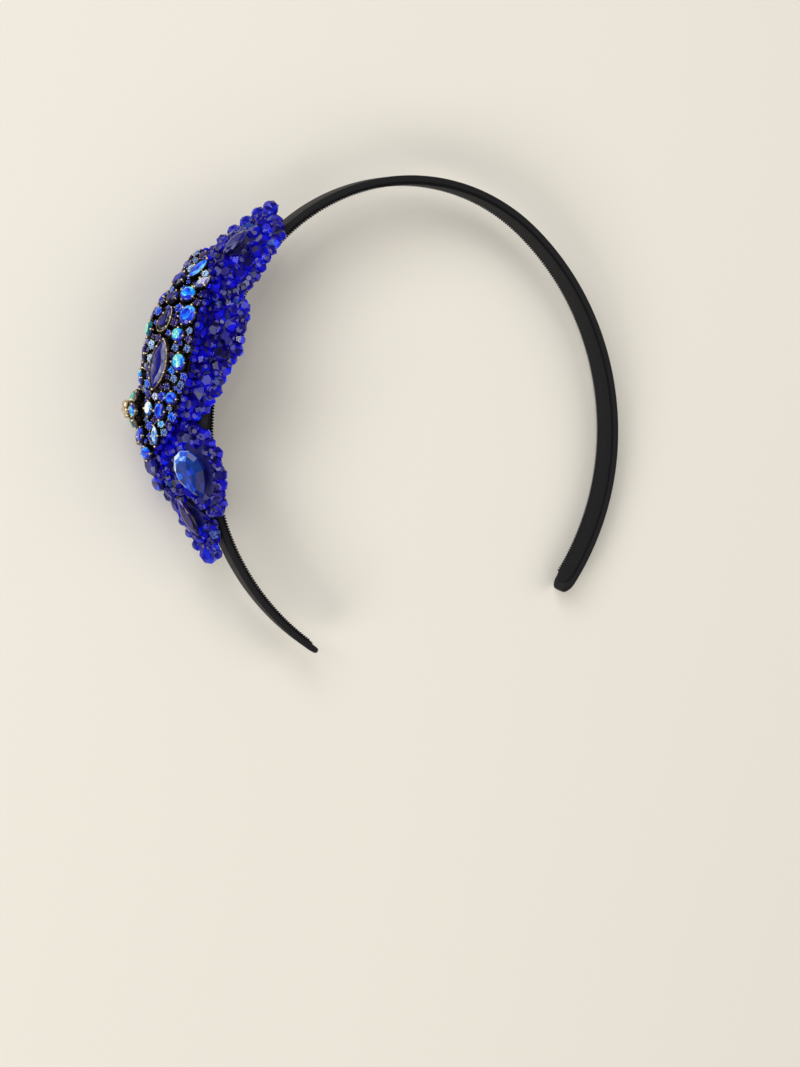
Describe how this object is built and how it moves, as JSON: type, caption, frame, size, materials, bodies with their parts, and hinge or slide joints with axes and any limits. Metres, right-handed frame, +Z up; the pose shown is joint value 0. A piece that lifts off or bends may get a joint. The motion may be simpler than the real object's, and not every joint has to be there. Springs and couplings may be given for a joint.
{
  "type": "flower headpiece",
  "caption": "Satin-covered hair band carrying a beaded cobalt flower with a jewelled brooch on one side.",
  "frame": {"origin": "bottom centre of the whole headpiece as it rests on a surface on its rear edges", "axes": "+Z up from the surface, which is forwards when worn; +Y from the tips towards the crown of the band; -X towards the flower's side, the wearer's right or left as turned"},
  "size_m": [0.1668, 0.1482, 0.0421],
  "materials": {
    "black_satin": "satin ribbon glued round a sprung core",
    "black_ribbon": "grosgrain ribbon lining with a picot edge",
    "black_felt": "matt felt pad",
    "cobalt_beading": "small faceted glass beads sewn close together on fabric",
    "cobalt_bead": "round faceted glass beads",
    "antique_gold": "antique gold plate, darkened in the hollows",
    "sapphire": "foiled cut glass",
    "deep_sapphire": "foiled cut glass, dark",
    "bright_sapphire": "foiled cut glass, bright",
    "montana": "foiled cut glass, teal blue",
    "violet_blue": "foiled cut glass, violet blue",
    "rainbow_blue": "blue cut glass with an iridescent coat",
    "rainbow_clear": "clear cut glass with an iridescent coat"
  },
  "bodies": {
    "root": {"band": "black_satin", "band_lining": "black_ribbon", "flower_backing": "black_felt", "petal_top": "cobalt_beading", "petal_upper_front": "cobalt_beading", "petal_upper_back": "cobalt_beading", "petal_lower_front": "cobalt_beading", "petal_lower_back": "cobalt_beading", "petal_bottom": "cobalt_beading", "petal_top_rim_beads": "cobalt_bead", "petal_bottom_rim_beads": "cobalt_bead", "petal_top_marquise": "deep_sapphire", "petal_bottom_marquise": "violet_blue", "petal_lower_front_pear": "montana", "petal_lower_back_octagon": "deep_sapphire", "petal_lower_back_baguette": "violet_blue", "brooch_frame": "antique_gold", "stone_upper_navette": "sapphire", "stone_pink_navette": "rainbow_clear", "stone_ridge_top": "sapphire", "stone_cyan_round": "rainbow_blue", "stone_dark_round": "deep_sapphire", "stone_blue_oval": "bright_sapphire", "stone_bezel_pear": "deep_sapphire", "stone_rainbow_round": "rainbow_blue", "stone_green_round": "rainbow_blue", "stone_long_navette": "deep_sapphire", "stone_mint_oval": "rainbow_blue", "stone_bright_round": "bright_sapphire", "stone_clear_oval": "rainbow_clear", "stone_lower_oval": "bright_sapphire", "stone_clear_navette": "rainbow_clear", "stone_lower_ridge": "bright_sapphire", "stone_lower_blue": "bright_sapphire", "stone_ridge_oval": "sapphire", "stone_ridge_round": "rainbow_blue", "stone_rear_top_round": "rainbow_blue", "stone_rear_oval": "bright_sapphire", "stone_rear_mint": "rainbow_blue", "stone_rear_navette": "deep_sapphire", "stone_rear_round": "sapphire", "stone_rear_low_oval": "sapphire", "raised_flower_stone_1": "sapphire", "raised_flower_stone_2": "rainbow_blue", "raised_flower_stone_3": "sapphire", "raised_flower_stone_4": "rainbow_blue", "raised_flower_stone_5": "sapphire", "raised_flower_stone_6": "rainbow_blue"}
  },
  "joints": []
}
